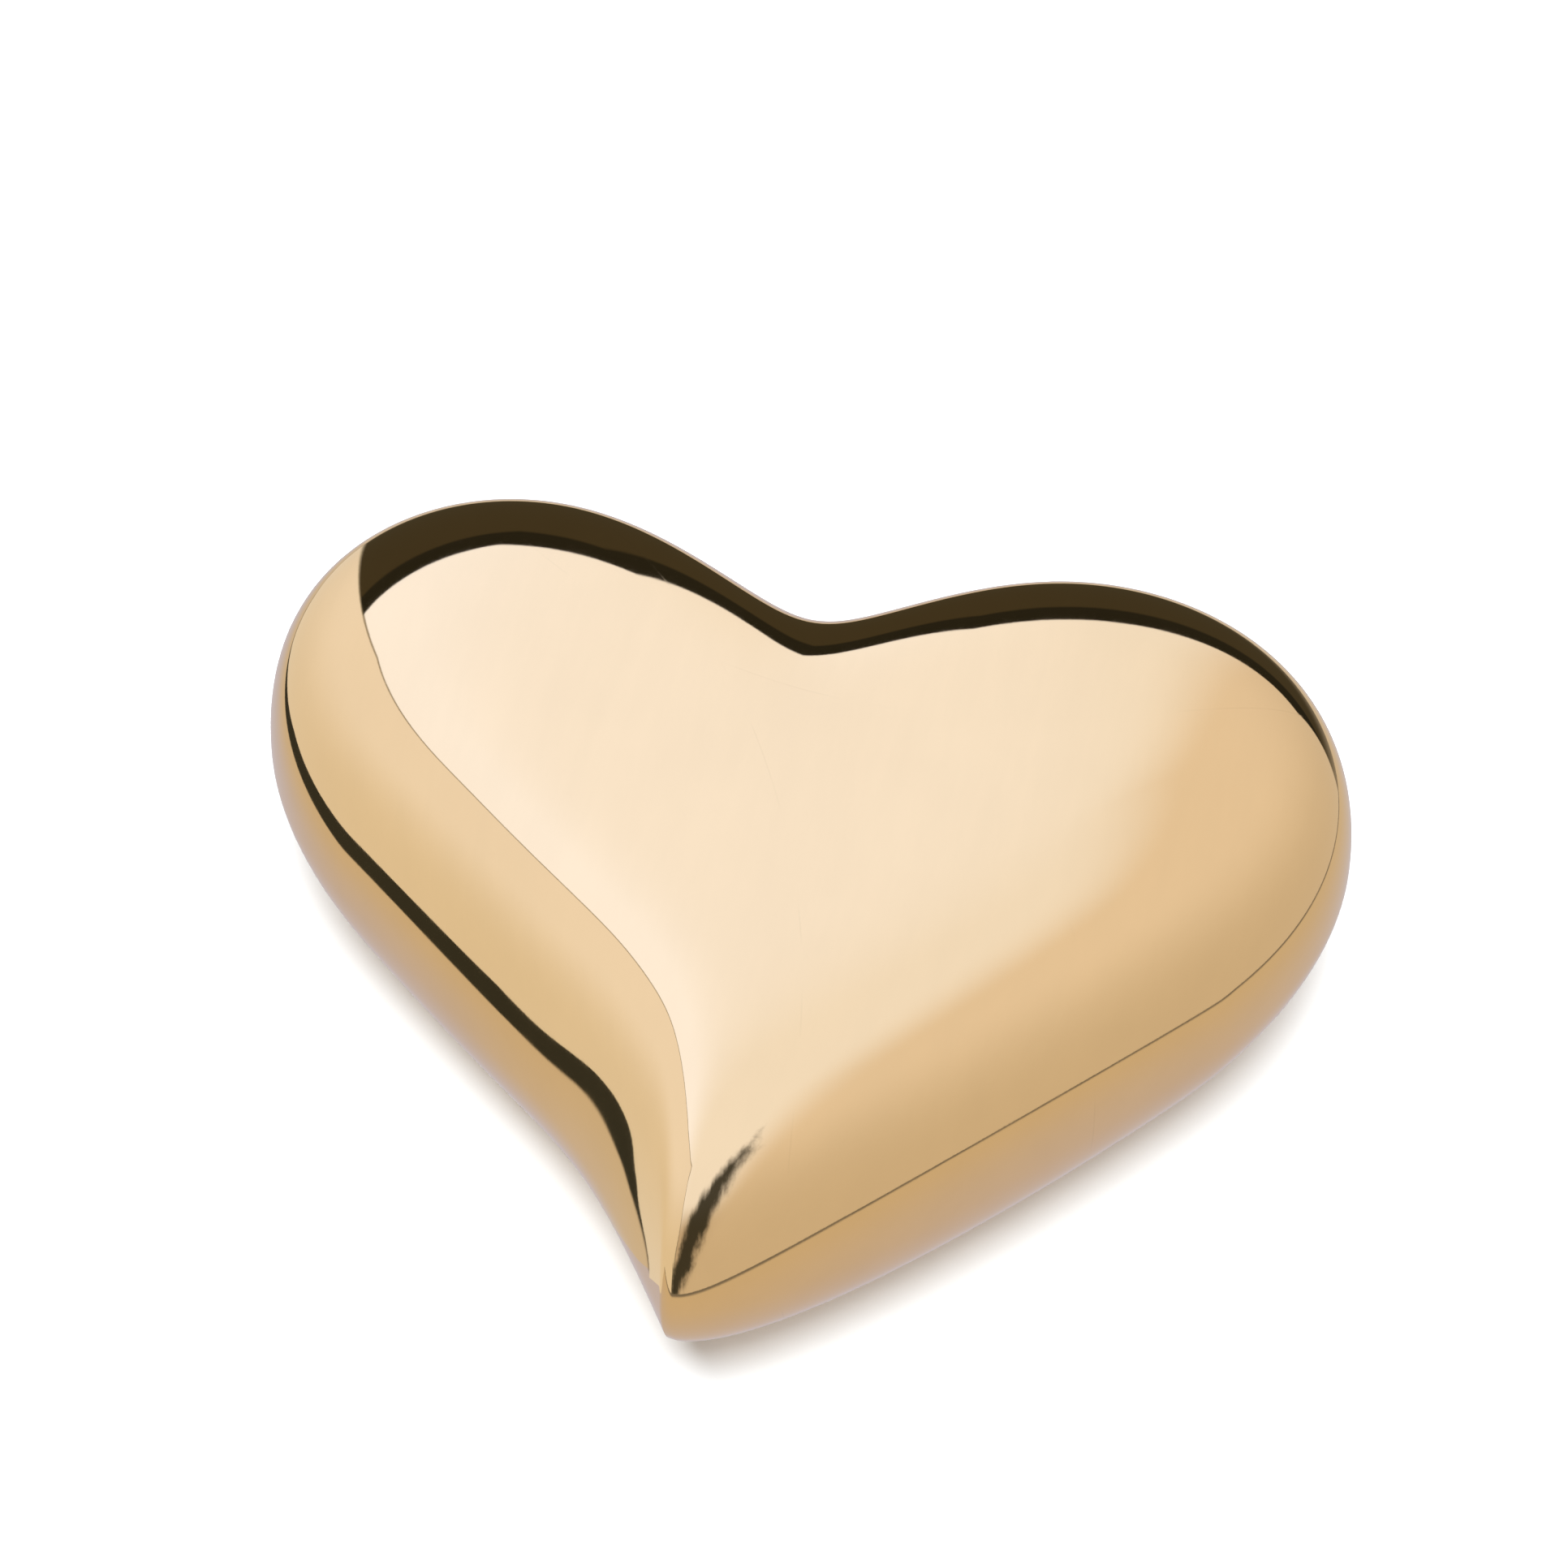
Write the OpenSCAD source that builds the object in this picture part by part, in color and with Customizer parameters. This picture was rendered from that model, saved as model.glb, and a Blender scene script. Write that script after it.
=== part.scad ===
// Wind-up music box in a hollow, polished brass heart.
// Origin: on the resting surface under the middle of the case. +Z up, tip of the heart towards -Y.
// The case is a soft pillow: its outline shrinks and softens ring by ring towards the crown.

/* [Heart case] */
// Width of the case across its two lobes
case_w = 130; // [128:1:140]
// Height of the case, feet included
case_h = 45.5; // [45:0.5:50]
// Height of the widest line round the case
belly_z = 17.7; // [17:0.1:19]
// Thickness of the pressed brass shell
wall = 1.4; // [1:0.1:1.6]
// How squarely the crown turns down into the side
crown_power = 6.4; // [5.5:0.1:8]
// Share of the outline's width that the case stands on
stand_share = 0.75; // [0.74:0.01:0.8]

/* [Base] */
// Height of the rubber feet below the base plate
foot_h = 1; // [0.8:0.1:1.2]
// Radius of a rubber foot
foot_r = 3.5; // [2.5:0.5:4]
// Thickness of the base plate
base_t = 1.4; // [1:0.1:1.6]
// Inner radius of the drawn key recess
recess_r = 16; // [15:0.5:16]
// Thickness of the recess wall
recess_t = 0.8; // [0.6:0.1:0.8]

/* [Winding key] */
// Radius of each round key wing
wing_r = 4.3; // [3.5:0.1:4.4]
// Distance of the wing's middle from the key's axis
wing_reach = 8.4; // [7:0.1:9]
// Thickness of the key wings
wing_t = 1.8; // [1.4:0.1:2.4]

/* [Comb and cylinder] */
// Number of notes, one comb tooth each
notes = 18; // [12:1:18]
// Spacing of the comb teeth
note_pitch = 0.96; // [0.9:0.01:0.96]
// Radius of the pinned cylinder
drum_r = 6.5; // [6:0.1:6.6]
// Length of the pins outside the cylinder
pin_out = 0.7; // [0.5:0.05:0.75]
// Gap between the pin tips and the comb teeth
comb_gap = 0.07; // [0.05:0.01:0.1]
// Thickness of the comb
comb_t = 0.8; // [0.6:0.1:1]

/* [Air brake] */
// Radius of the air-brake fan
fan_r = 5; // [3.5:0.1:5.2]
// Height of the fan
fan_h = 5.2; // [4:0.1:5.4]

/* [Hidden] */
$fn = 48;

// ---- colours ----
brass = [0.86, 0.68, 0.40];
pale_brass = [0.90, 0.76, 0.50];
steel = [0.70, 0.71, 0.73];
dark_steel = [0.38, 0.39, 0.42];
zinc = [0.62, 0.63, 0.64];
lead_grey = [0.34, 0.35, 0.37];
rubber_black = [0.10, 0.10, 0.10];

// ---- outline of the heart ----
// Knots of the outline, anticlockwise from the tip, drawn about 130 mm wide:
// [x, y, heading in, heading out, reach in, reach out]
heart_knots = [
    [  0.0, -53.0, 302.0,  -1.0, 34.5, 14.5],
    [ 55.5,  -2.5,  55.5,  55.5,  6.0, 39.0],
    [ 33.5,  53.0, 186.0, 186.0, 24.5, 15.0],
    [  0.0,  38.0, 182.5, 182.5,  6.5,  7.0],
    [-35.5,  52.5, 173.0, 173.0, 15.5, 26.0],
    [-49.5,  -2.0, 318.0, 318.0, 39.5, 41.5]
];
// Point that the rings of the case shrink towards
crown_x = 0.7;
crown_y = -6.6;
outline_steps = 24;
ring_points = 72;
// Spread of the ring softening at the crown, in ring points
soften_max = 3.3;
soften_reach = 9;
up_rings = 13;
down_rings = 5;
belly_power = 2.15;

function knot(i) = heart_knots[i % len(heart_knots)];
function heading(a) = [cos(a), sin(a)];
function bezier(a, b, c, d, t) =
    pow(1 - t, 3) * a + 3 * pow(1 - t, 2) * t * b + 3 * (1 - t) * t * t * c + pow(t, 3) * d;
function segment(i, t) =
    let(
        k0 = knot(i),
        k1 = knot(i + 1),
        p0 = [k0[0], k0[1]],
        p1 = [k1[0], k1[1]]
    )
    bezier(p0, p0 + k0[5] * heading(k0[3]), p1 - k1[4] * heading(k1[2]), p1, t);
fine = [
    for (i = [0 : len(heart_knots) - 1])
        for (j = [0 : outline_steps - 1])
            segment(i, j / outline_steps)
];
fine_n = len(fine);
run = [
    for (i = 0, s = 0; i <= fine_n; s = s + norm(fine[(i + 1) % fine_n] - fine[i % fine_n]), i = i + 1) s
];
run_x = [for (i = [0 : fine_n]) [run[i], fine[i % fine_n][0]]];
run_y = [for (i = [0 : fine_n]) [run[i], fine[i % fine_n][1]]];
even = [
    for (j = [0 : ring_points - 1])
        let(u = run[fine_n] * j / ring_points)
        [lookup(u, run_x), lookup(u, run_y)]
];
even_x = [for (p = even) p[0]];
even_y = [for (p = even) p[1]];
even_w = max(even_x) - min(even_x);
even_middle = [max(even_x) + min(even_x), max(even_y) + min(even_y)] / 2;
// The outline as evenly spaced points, centred on the origin and exactly as wide as the case
outline = [for (p = even) (p - even_middle) * case_w / even_w];

function left_of(v) = [-v[1], v[0]] / norm(v);
// Moves an anticlockwise outline inwards by d, measured square to its edges
function inset(pts, d) =
    let(n = len(pts))
    [
        for (i = [0 : n - 1])
            let(
                n0 = left_of(pts[i] - pts[(i + n - 1) % n]),
                n1 = left_of(pts[(i + 1) % n] - pts[i]),
                m = (n0 + n1) / norm(n0 + n1)
            )
            pts[i] + m * d / (m * n1)
    ];
least_spread = 0.05;
function bell(spread) = [for (j = [-soften_reach : soften_reach]) exp(-0.5 * pow(j / spread, 2))];
function total(v) = v * [for (x = v) 1];
// Softens a closed outline with a bell-shaped moving average
function soften(pts, spread) =
    spread < least_spread ? pts :
    let(n = len(pts), w = bell(spread), sum = total(w))
    [
        for (i = [0 : n - 1])
            (w * [for (j = [-soften_reach : soften_reach]) pts[(i + j + n) % n]]) / sum
    ];
crown_centre = [crown_x, crown_y];
// The outline of the case at share s of its full size
function shrunk(pts, s) =
    [for (p = soften(pts, soften_max * (1 - s))) crown_centre + s * (p - crown_centre)];
function lift(pts, z) = [for (p = pts) [p[0], p[1], z]];

// ---- heights ----
// The lip of the case hangs below the base plate
lip_drop = 0.2;
lip_z = foot_h - lip_drop;
base_z = foot_h;
base_top = base_z + base_t;
ring_t = 1.4;
recess_top = 12.6;
bed_z = 15;
bed_t = 2;
bed_top = bed_z + bed_t;
axis_z = bed_top + 14;
crown_rise = case_h - belly_z;

// Height of the case's skin at share s, above and below its widest line
function upper_z(s, rise) = belly_z + rise * sqrt(max(0, 1 - pow(s, crown_power)));
function lower_z(s, drop) =
    belly_z - drop * sqrt((1 - pow(s, belly_power)) / (1 - pow(stand_share, belly_power)));
down_s = [
    for (i = [0 : down_rings - 1])
        1 - (1 - stand_share) * pow(1 - i / down_rings, 2)
];
// Share at which the last ring stops short of the crown's middle
crown_share = 0.015;
up_s = [for (i = [0 : up_rings - 1]) 1 - (1 - crown_share) * pow(i / (up_rings - 1), 2)];
function skin(pts, rise, drop) = concat(
    [for (s = down_s) lift(shrunk(pts, s), lower_z(s, drop))],
    [for (s = up_s) lift(shrunk(pts, s), upper_z(s, rise))]
);
inner_outline = inset(outline, wall);
// Outline of the opening that the base plate closes
mouth = inset(shrunk(outline, stand_share), wall);

// ---- places, measured from the winding arbor ----
arbor_x = -7;
arbor_y = 2;
// Clearances: running fit, tapped thread, screw clearance hole, and ends that just miss each other
play = 0.05;
thread_play = 0.02;
hole_play = 0.1;
end_play = 0.1;
side_play = 0.2;
// How far the tip of a screw stays inside the piece it is driven into
tip_short = 0.3;
// How far a cutting shape reaches past the faces it cuts
over = 1;

// crown wheel on the barrel and the cylinder's pinion: three turns of the cylinder to one of the barrel
crown_teeth = 36;
pinion_teeth = 12;
crown_r = 10.6;
crown_pitch = 2 * PI * crown_r / crown_teeth;
pinion_r = crown_r * pinion_teeth / crown_teeth;
crown_face = 1.8;
crown_up = 0.5;
crown_down = 0.66;
crown_pitch_z = axis_z - pinion_r;
crown_root_z = crown_pitch_z - crown_down;

// great wheel on the cylinder and the governor's pinion
great_teeth = 40;
leaf_teeth = 8;
leaf_module = 0.4;
great_r = great_teeth * leaf_module / 2;
leaf_r = leaf_teeth * leaf_module / 2;
leaf_angle = 30;
leaf_y = (great_r + leaf_r) * cos(leaf_angle);
leaf_z = axis_z - (great_r + leaf_r) * sin(leaf_angle);

// worm wheel and single-start worm
worm_teeth = 24;
worm_module = 0.5;
worm_lead = PI * worm_module;
wheel_r = worm_teeth * worm_module / 2;
worm_r = 1.8;
worm_y = leaf_y + wheel_r + worm_r;

// stations along the cylinder's axis
pinion_x = crown_r - crown_face / 2;
left_plate_x = 12.4;
plate_t = 1;
drum_x = 14;
drum_len = 18;
right_plate_x = 32.6;
great_x = 34.2;
great_t = 1.4;
leaf_x = 34;
leaf_len = 1.8;
wheel_x = 36.8;
wheel_t = 1.6;
worm_x = wheel_x + wheel_t / 2;
side_plate_x = 40.4;

// barrel
barrel_r = 12;
barrel_t = 0.8;
barrel_gap = 0.6;
barrel_z = bed_top + barrel_gap;
lid_t = 1;
lid_z = crown_root_z - lid_t;
spring_z = barrel_z + barrel_t + side_play;
spring_top = lid_z - side_play;

// shafts
key_shaft_r = 1.8;
hub_r = 2.8;
top_pivot_r = 1.4;
drum_arbor_r = 1;
leaf_arbor_r = 0.7;
worm_arbor_r = 0.8;
worm_pivot_r = 0.5;
// How far a pivot reaches out of its bearing
pivot_out = 0.4;

// screws: [shank radius, head radius, head height]
small_screw = [1, 1.9, 0.9];
base_screw = [1.25, 2.2, 0.6];
mount_screw = [1.45, 2.6, 0.6];
slot_w = 0.5;
slot_d = 0.35;

// comb
comb_top = axis_z + comb_t / 2;
tip_y = -(drum_r + pin_out + comb_gap);
comb_back = -21.5;
comb_seat_front = -16.2;
first_note_x = drum_x + (drum_len - (notes - 1) * note_pitch) / 2;
comb_slot_w = 0.28;
comb_screw_y = -18.8;
screw_xs = [drum_x + 4, drum_x + drum_len - 4];

// bedplate and its supports
bed_left = -13.5;
bed_right = 42.5;
bed_front = -22;
bed_back = 24;
standoff_r = 2.5;
standoff_places = [[-6.8, 18.6], [3.6, -19.5], [36, -4]];

// bridge over the barrel
bridge_z = 28.6;
bridge_t = 1.2;
bridge_w = 8;
bridge_reach = 15.3;
bridge_foot = 20.8;
bridge_middle = (bridge_reach + bridge_foot) / 2;
bridge_screw_y = 18.9;

// governor frame
frame_x = 31.2;
frame_back = 22.8;
frame_t = 1;
frame_front = 12.4;
frame_top = axis_z + 9;
frame_screw_x = 33.3;
frame_screw_ys = [14.6, 19.6];
fan_z = axis_z + 1.3;
fan_t = 0.4;
fan_hub_r = 1.4;

// ---- shared shapes ----
module at_arbor() {
    translate([arbor_x, arbor_y, 0]) children();
}

// Lays a shape drawn in YZ along the cylinder's axis, from station x
module along_x(x, y = 0, z = 0) {
    translate([x, y, z]) rotate([90, 0, 90]) children();
}

module rod(r, x, length, y = 0, z = 0) {
    along_x(x, y, z) cylinder(h = length, r = r);
}

// Slotted pan-head screw, head down, head seat at z = 0
module screw(kind, length) {
    difference() {
        union() {
            cylinder(h = length, r = kind[0]);
            translate([0, 0, -kind[2]]) cylinder(h = kind[2], r = kind[1]);
        }
        translate([-kind[1] - 1, -slot_w / 2, -kind[2] - 1])
            cube([2 * kind[1] + 2, slot_w, 1 + slot_d]);
    }
}

// The same screw with its head up
module screw_down(kind, length) {
    mirror([0, 0, 1]) screw(kind, length);
}

// Outline of a toothed wheel with straight-sided teeth, one tooth at angle `phase`.
// `share` is the width of a tooth halfway up, over the spacing of the teeth.
root_share = 0.7;
module wheel_2d(teeth, pitch_r, up, down, share, phase) {
    step = 360 / teeth;
    root_half = step * share * root_share;
    tip_half = step * share * (1 - root_share);
    polygon([
        for (i = [0 : teeth - 1])
            for (c = [[-root_half, -down], [-tip_half, up], [tip_half, up], [root_half, -down]])
                (pitch_r + c[1]) * heading(phase + i * step + c[0])
    ]);
}

// ---- case ----
module case_shell() {
    outer = skin(outline, crown_rise, belly_z - lip_z);
    // The inner skin stops at the top of the base plate and drops straight to the lip
    inner = skin(inner_outline, crown_rise - wall, belly_z - base_top);
    lip = lift(mouth, lip_z);
    seat = lift(mouth, base_top);
    n = ring_points;
    top_out = [[crown_x, crown_y, case_h]];
    top_in = [[crown_x, crown_y, case_h - wall]];
    inner_up = [for (i = [1 : len(inner) - 1]) inner[i]];
    // Rings in one sheet: crown of the outside, down to the lip, and up the inside to its crown
    rings = concat([for (i = [len(outer) - 1 : -1 : 0]) outer[i]], [lip, seat], inner_up);
    m = len(rings);
    points = concat(top_out, [for (r = rings) each r], top_in);
    last = len(points) - 1;
    at = function(r, i) 1 + r * n + i % n;
    faces = concat(
        [for (i = [0 : n - 1]) [0, at(0, i + 1), at(0, i)]],
        [for (r = [0 : m - 2], i = [0 : n - 1]) [at(r, i), at(r, i + 1), at(r + 1, i + 1)]],
        [for (r = [0 : m - 2], i = [0 : n - 1]) [at(r, i), at(r + 1, i + 1), at(r + 1, i)]],
        [for (i = [0 : n - 1]) [at(m - 1, i), at(m - 1, i + 1), last]]
    );
    color(brass) polyhedron(points, faces);
}

// Ring points beside which the case is screwed shut
closing_at = [9, 28, 44, 63];
closing_inset = 2.6;
closing_play = 0.15;
closing_tip = 0.8;
closing_places = [for (i = closing_at) inset(mouth, closing_inset)[i]];
closure_w = 4;
closure_gap = 0.1;
plate_gap = 0.3;
lug_r = 2.6;

module closure_ring() {
    color(brass) translate([0, 0, base_top]) linear_extrude(ring_t) difference() {
        polygon(inset(mouth, closure_gap));
        difference() {
            polygon(inset(mouth, closure_w));
            for (p = closing_places) translate(p) circle(r = lug_r);
        }
        for (p = closing_places) translate(p) circle(r = base_screw[0] + thread_play);
    }
}

// Slot with round ends under the movement, which lets the sound out
slot_r = 3;
slot_ends = [[26, 7], [26, 25]];

module base_plate() {
    color(pale_brass) difference() {
        translate([0, 0, base_z]) linear_extrude(base_t) polygon(inset(mouth, plate_gap));
        at_arbor() {
            cylinder(h = base_top + 1, r = recess_r + recess_t);
            for (p = standoff_places) translate(p) cylinder(h = recess_top, r = mount_screw[0] + hole_play);
        }
        for (p = closing_places) translate(p) cylinder(h = base_top + 1, r = base_screw[0] + closing_play);
        for (p = slot_ends) translate(p) cylinder(h = base_top + 1, r = slot_r);
        translate([slot_ends[0][0] - slot_r, slot_ends[0][1], 0])
            cube([2 * slot_r, slot_ends[1][1] - slot_ends[0][1], base_top + 1]);
    }
}

// Gap round the arbor where it passes through the cup
cup_gap = 0.6;

// Drawn cup, pressed into the base plate, that the key turns in
module key_cup() {
    color(pale_brass) at_arbor() difference() {
        translate([0, 0, base_z]) cylinder(h = recess_top - base_z, r = recess_r + recess_t);
        translate([0, 0, -1]) cylinder(h = 1 + recess_top - recess_t, r = recess_r);
        cylinder(h = recess_top + 1, r = key_shaft_r + cup_gap);
    }
}

module closing_screws() {
    color(steel) for (p = closing_places) translate([p[0], p[1], base_z])
        screw(base_screw, base_t + ring_t + closing_tip);
}

// Ring points beside which the feet stand: the tip and the two lobes
foot_at = [1, 24, 48];
foot_inset = 8.5;
foot_taper = 0.4;
foot_places = [for (i = foot_at) inset(mouth, foot_inset)[i]];

module feet() {
    color(rubber_black) for (p = foot_places) translate(p)
        cylinder(h = foot_h, r1 = foot_r - foot_taper, r2 = foot_r);
}

// ---- movement supports ----
module standoffs() {
    color(brass) at_arbor() for (p = standoff_places) translate([p[0], p[1], base_top])
        difference() {
            cylinder(h = bed_z - base_top, r = standoff_r);
            translate([0, 0, -1]) cylinder(h = bed_z, r = mount_screw[0] + hole_play);
        }
}

module mounting_screws() {
    color(steel) at_arbor() for (p = standoff_places) translate([p[0], p[1], base_z])
        screw(mount_screw, bed_top - base_z - tip_short);
}

module screw_hole(p, r) {
    translate([p[0], p[1], bed_z - 1]) cylinder(h = bed_t + 2, r = r);
}

bush_r = 4;
bush_rim = 0.3;
bush_bore = key_shaft_r + play;
bed_corner = 3;

module bedplate() {
    corner = bed_corner;
    color(zinc) at_arbor() difference() {
        translate([0, 0, bed_z]) linear_extrude(bed_t) union() {
            translate([bed_left + corner, bed_front])
                square([bed_right - bed_left - 2 * corner, bed_back - bed_front]);
            translate([bed_left, bed_front + corner])
                square([bed_right - bed_left, bed_back - bed_front - 2 * corner]);
            for (x = [bed_left + corner, bed_right - corner], y = [bed_front + corner, bed_back - corner])
                translate([x, y]) circle(r = corner);
        }
        screw_hole([0, 0], bush_r);
        for (p = standoff_places) screw_hole(p, mount_screw[0] + thread_play);
        for (x = screw_xs) screw_hole([x, 0], small_screw[0] + thread_play);
        for (x = screw_xs) screw_hole([x, comb_screw_y], small_screw[0] + hole_play);
        for (y = frame_screw_ys) screw_hole([frame_screw_x, y], small_screw[0] + thread_play);
        for (y = [-bridge_screw_y, bridge_screw_y]) screw_hole([0, y], small_screw[0] + thread_play);
    }
}

module arbor_bush() {
    color(brass) at_arbor() translate([0, 0, bed_z]) difference() {
        cylinder(h = bed_t + bush_rim, r = bush_r);
        translate([0, 0, -1]) cylinder(h = bed_t + 3, r = bush_bore);
    }
}

// Round wire swept along a helix
wire_r = 0.25;
coil_turns = 3;
coil_gap = 0.12;
coil_r = key_shaft_r + coil_gap + wire_r;
coil_pitch = 2 * wire_r + 0.03;
wire_sides = 8;
coil_steps = 20;

module clutch_spring() {
    n = coil_turns * coil_steps;
    points = [
        for (i = [0 : n], j = [0 : wire_sides - 1])
            let(
                turn = 360 * i / coil_steps,
                a = 360 * j / wire_sides,
                r = coil_r + wire_r * cos(a)
            )
            [r * cos(turn), r * sin(turn), coil_pitch * i / coil_steps + wire_r * sin(a)]
    ];
    side = [
        for (i = [0 : n - 1], j = [0 : wire_sides - 1])
            let(j2 = (j + 1) % wire_sides, a = i * wire_sides, b = a + wire_sides)
            [a + j2, b + j2, b + j, a + j]
    ];
    ends = [
        [for (j = [wire_sides - 1 : -1 : 0]) j],
        [for (j = [0 : wire_sides - 1]) n * wire_sides + j]
    ];
    color(steel) at_arbor() translate([0, 0, recess_top + side_play + wire_r])
        polyhedron(points, concat(side, ends));
}

// ---- key and its arbor ----
key_z = 6.6;
key_head_gap = 0.5;
key_top = recess_top - recess_t - key_head_gap;
key_collar_r = 3.2;
key_foot_z = 2.8;
// Thickness of the key's blind end, and the gap above it to the arbor
key_end_t = 1.5;
key_end_gap = 0.3;
// Width of the web between the wings and of the finger holes, as shares of the wing's radius
web_share = 1.1;
eye_share = 0.42;

module winding_key() {
    color(brass) at_arbor() difference() {
        union() {
            translate([0, 0, key_foot_z]) cylinder(h = key_top - key_foot_z, r = key_collar_r);
            translate([0, wing_t / 2, key_z]) rotate([90, 0, 0]) linear_extrude(wing_t) difference() {
                union() {
                    for (side = [-1, 1]) translate([side * wing_reach, 0]) circle(r = wing_r);
                    square([2 * wing_reach, wing_r * web_share], center = true);
                }
                for (side = [-1, 1]) translate([side * wing_reach, 0]) circle(r = wing_r * eye_share);
            }
        }
        translate([0, 0, key_foot_z + key_end_t]) cylinder(h = key_top, r = key_shaft_r + thread_play);
    }
}

module winding_arbor() {
    arbor_foot = key_foot_z + key_end_t + key_end_gap;
    arbor_head = bridge_z + bridge_t + pivot_out;
    color(steel) at_arbor() rotate_extrude() polygon([
        [0, arbor_foot], [key_shaft_r, arbor_foot], [key_shaft_r, spring_z], [hub_r, spring_z],
        [hub_r, spring_top], [top_pivot_r, spring_top], [top_pivot_r, arbor_head], [0, arbor_head]
    ]);
}

// ---- spring barrel ----
module barrel_drum() {
    color(pale_brass) at_arbor() translate([0, 0, barrel_z]) difference() {
        cylinder(h = lid_z - barrel_z, r = barrel_r);
        translate([0, 0, barrel_t]) cylinder(h = lid_z - barrel_z, r = barrel_r - barrel_t);
        translate([0, 0, -1]) cylinder(h = barrel_t + 2, r = key_shaft_r + play);
    }
}

// Half widths of a crown tooth at its root and tip, as shares of the pitch, and how deep it is set in
crown_root_share = 0.25;
crown_tip_share = 0.13;
crown_sink = 0.1;

module crown_wheel() {
    tooth_h = crown_up + crown_down + crown_sink;
    root_half = crown_pitch * crown_root_share;
    tip_half = crown_pitch * crown_tip_share;
    color(brass) at_arbor() difference() {
        union() {
            translate([0, 0, lid_z]) cylinder(h = lid_t, r = barrel_r);
            for (i = [0 : crown_teeth - 1])
                rotate([0, 0, (i + 0.5) * 360 / crown_teeth])
                    along_x(crown_r - crown_face / 2, 0, crown_root_z - crown_sink)
                        linear_extrude(crown_face)
                            polygon([
                                [-root_half, 0], [root_half, 0],
                                [tip_half, tooth_h], [-tip_half, tooth_h]
                            ]);
        }
        translate([0, 0, lid_z - 1]) cylinder(h = lid_t + 2, r = top_pivot_r + play);
    }
}

strip_t = 0.35;
spiral_turns = 8;
spiral_steps = 20;
spiral_gap_in = 0.4;
spiral_gap_out = 0.25;
spiral_in = hub_r + spiral_gap_in;
spiral_out = barrel_r - barrel_t - spiral_gap_out - strip_t;

module mainspring() {
    n = spiral_turns * spiral_steps;
    radius = function(i) spiral_in + (spiral_out - spiral_in) * i / n;
    outer = [for (i = [0 : n]) (radius(i) + strip_t) * heading(360 * i / spiral_steps)];
    inner = [for (i = [n : -1 : 0]) radius(i) * heading(360 * i / spiral_steps)];
    color(dark_steel) at_arbor() translate([0, 0, spring_z])
        linear_extrude(spring_top - spring_z) polygon(concat(outer, inner));
}

module barrel_bridge() {
    color(steel) at_arbor() difference() {
        union() {
            translate([-bridge_w / 2, -bridge_reach - bridge_t, bridge_z])
                cube([bridge_w, 2 * (bridge_reach + bridge_t), bridge_t]);
            for (side = [-1, 1]) {
                translate([-bridge_w / 2, side * (bridge_reach + bridge_t / 2) - bridge_t / 2, bed_top])
                    cube([bridge_w, bridge_t, bridge_z + bridge_t - bed_top]);
                translate([-bridge_w / 2, side * bridge_middle - (bridge_foot - bridge_reach) / 2, bed_top])
                    cube([bridge_w, bridge_foot - bridge_reach, bridge_t]);
            }
        }
        translate([0, 0, bridge_z - 1]) cylinder(h = bridge_t + 2, r = top_pivot_r + play);
        for (y = [-bridge_screw_y, bridge_screw_y])
            translate([0, y, bed_top - 1]) cylinder(h = bridge_t + 2, r = small_screw[0] + hole_play);
    }
}

module bridge_screws() {
    color(steel) at_arbor() for (y = [-bridge_screw_y, bridge_screw_y])
        translate([0, y, bed_top + bridge_t]) screw_down(small_screw, bridge_t + bed_t - tip_short);
}

// ---- cylinder ----
bracket_half = 4;
bearing_half = 3;
// Metal left above the cylinder's bearing, and round the governor arbor's
bearing_over = 2.6;
leaf_over = 2;
shoulder_over = 1;

module bearing_plate(x, back_y) {
    bearing_top = axis_z + bearing_over;
    along_x(x) linear_extrude(plate_t) polygon([
        [-bracket_half, bed_top], [back_y, bed_top], [back_y, leaf_z + leaf_over],
        [bearing_half, bearing_top], [-bearing_half, bearing_top],
        [-bracket_half, axis_z + shoulder_over]
    ]);
}

module cylinder_bracket() {
    color(steel) at_arbor() difference() {
        union() {
            translate([left_plate_x, -bracket_half, bed_top])
                cube([right_plate_x + plate_t - left_plate_x, 2 * bracket_half, bridge_t]);
            bearing_plate(left_plate_x, bracket_half);
            bearing_plate(right_plate_x, leaf_y + leaf_over);
        }
        rod(drum_arbor_r + play, left_plate_x - 1, right_plate_x + plate_t + 2 - left_plate_x, 0, axis_z);
        rod(leaf_arbor_r + play, right_plate_x - 1, plate_t + 2, leaf_y, leaf_z);
        for (x = screw_xs) translate([x, 0, bed_top - 1])
            cylinder(h = bridge_t + 2, r = small_screw[0] + hole_play);
    }
}

module bracket_screws() {
    color(steel) at_arbor() for (x = screw_xs)
        translate([x, 0, bed_top + bridge_t]) screw_down(small_screw, bridge_t + bed_t - tip_short);
}

drum_wall = 0.9;
cap_t = 1.2;

module music_cylinder() {
    color(brass) at_arbor() difference() {
        rod(drum_r, drum_x, drum_len, 0, axis_z);
        rod(drum_r - drum_wall, drum_x - 1, drum_len + 2, 0, axis_z);
    }
}

module cylinder_caps() {
    color(pale_brass) at_arbor() for (x = [drum_x, drum_x + drum_len - cap_t]) difference() {
        rod(drum_r - drum_wall, x, cap_t, 0, axis_z);
        rod(drum_arbor_r, x - 1, cap_t + 2, 0, axis_z);
    }
}

pin_r = 0.2;
pin_sides = 16;
pins_per_note = 5;
// Places of a note's pins round the cylinder, spread unevenly like a tune
function pin_angle(note, i) = 360 * i / pins_per_note + 24 * sin(97 * note * (i + 1) + 41 * i) + 61 * note;

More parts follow.
